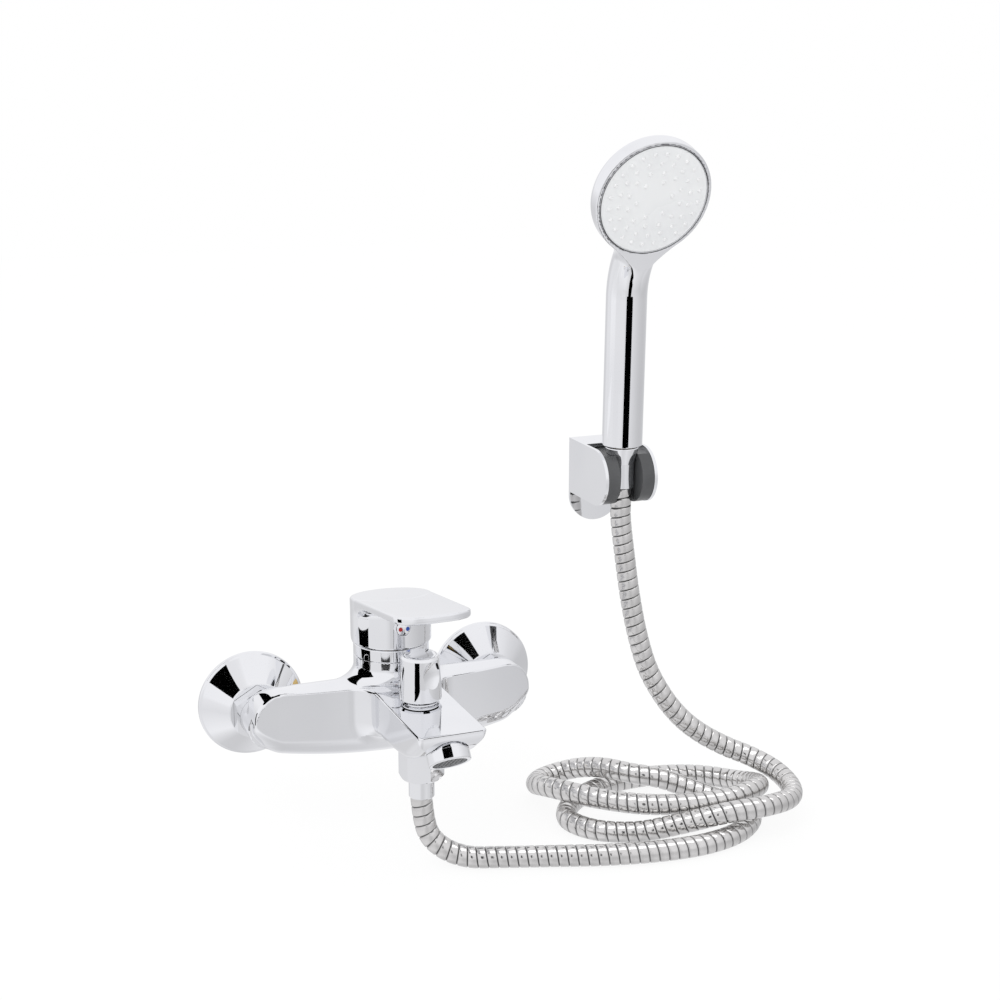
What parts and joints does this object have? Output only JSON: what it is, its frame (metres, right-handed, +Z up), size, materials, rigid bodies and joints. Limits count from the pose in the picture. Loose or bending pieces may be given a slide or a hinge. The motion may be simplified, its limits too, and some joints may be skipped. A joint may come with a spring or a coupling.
{
  "type": "bath shower mixer",
  "caption": "Wall-mounted single-lever bath mixer with fixed spout, pull-up diverter, ribbed metal hose, hand shower and wall bracket.",
  "frame": {"origin": "midway between the two wall inlets, on the finished wall face", "axes": "+X to the right seen from the front, +Y into the wall, +Z up"},
  "size_m": [0.3538, 0.1811, 0.4162],
  "materials": {
    "chrome": "bright polished chrome plate",
    "brass": "machined brass",
    "seal": "black rubber",
    "white_plastic": "satin white plastic",
    "grey_plastic": "dark grey moulded plastic",
    "ceramic": "lapped ceramic",
    "red_mark": "gloss red",
    "blue_mark": "gloss blue"
  },
  "bodies": {
    "fixture": {"mixer_body": "chrome", "wall_union_left": "brass", "wall_union_right": "brass", "union_nuts": "chrome", "union_washers": "seal", "rosette_left": "chrome", "rosette_right": "chrome", "cartridge_seal": "seal", "cartridge_housing": "white_plastic", "lower_disc": "ceramic", "cartridge_nut": "brass", "tower_ring": "chrome", "diverter_bonnet": "brass", "aerator_ring": "chrome", "aerator_insert": "grey_plastic", "aerator_washer": "seal", "outlet_nipple": "brass", "hose_nut": "chrome", "hose_washer": "seal", "hose_tail": "brass", "ferrule": "chrome", "hose": "chrome", "bracket_plate": "chrome", "bracket_cover": "chrome", "bracket_fork": "grey_plastic", "bracket_screws": "chrome"},
    "swivel": {"upper_disc": "ceramic", "carrier": "white_plastic"},
    "lever_body": {"lever": "chrome", "lever_screw": "chrome", "indicator_button": "chrome", "hot_dot": "red_mark", "cold_dot": "blue_mark", "spindle": "brass", "pivot_pin": "chrome"},
    "diverter": {"diverter_knob": "chrome", "knob_cap": "white_plastic", "diverter_stem": "brass", "diverter_spool": "brass", "spool_seal": "seal"},
    "hose_end": {"cone_nut": "chrome", "cone_tail": "brass", "cone_washer": "seal"},
    "handset": {"handset_shell": "chrome", "rim_ring": "chrome", "faceplate": "white_plastic", "nozzle_mat": "white_plastic", "diffuser": "grey_plastic", "handset_inlet": "brass"}
  },
  "joints": [
    {"name": "lever_swivel", "type": "hinge", "parent": "fixture", "child": "swivel", "pos_m": [0, -0.047, 0.0453], "axis": [0, 0, 1], "range_deg": [-50, 50]},
    {"name": "lever_lift", "type": "hinge", "parent": "swivel", "child": "lever_body", "pos_m": [0, -0.047, 0.0453], "axis": [-1, 0, 0], "range_deg": [0, 20]},
    {"name": "diverter_pull", "type": "slide", "parent": "fixture", "child": "diverter", "axis": [0, 0, 1], "range_m": [0, 0.009]},
    {"name": "handset_lift", "type": "slide", "parent": "fixture", "child": "hose_end", "axis": [0, 0, 1], "range_m": [0, 0.035]},
    {"name": "handset_turn", "type": "hinge", "parent": "hose_end", "child": "handset", "pos_m": [0.1535, -0.04, 0.149], "axis": [0, 0, 1], "range_deg": [-90, 90]}
  ]
}
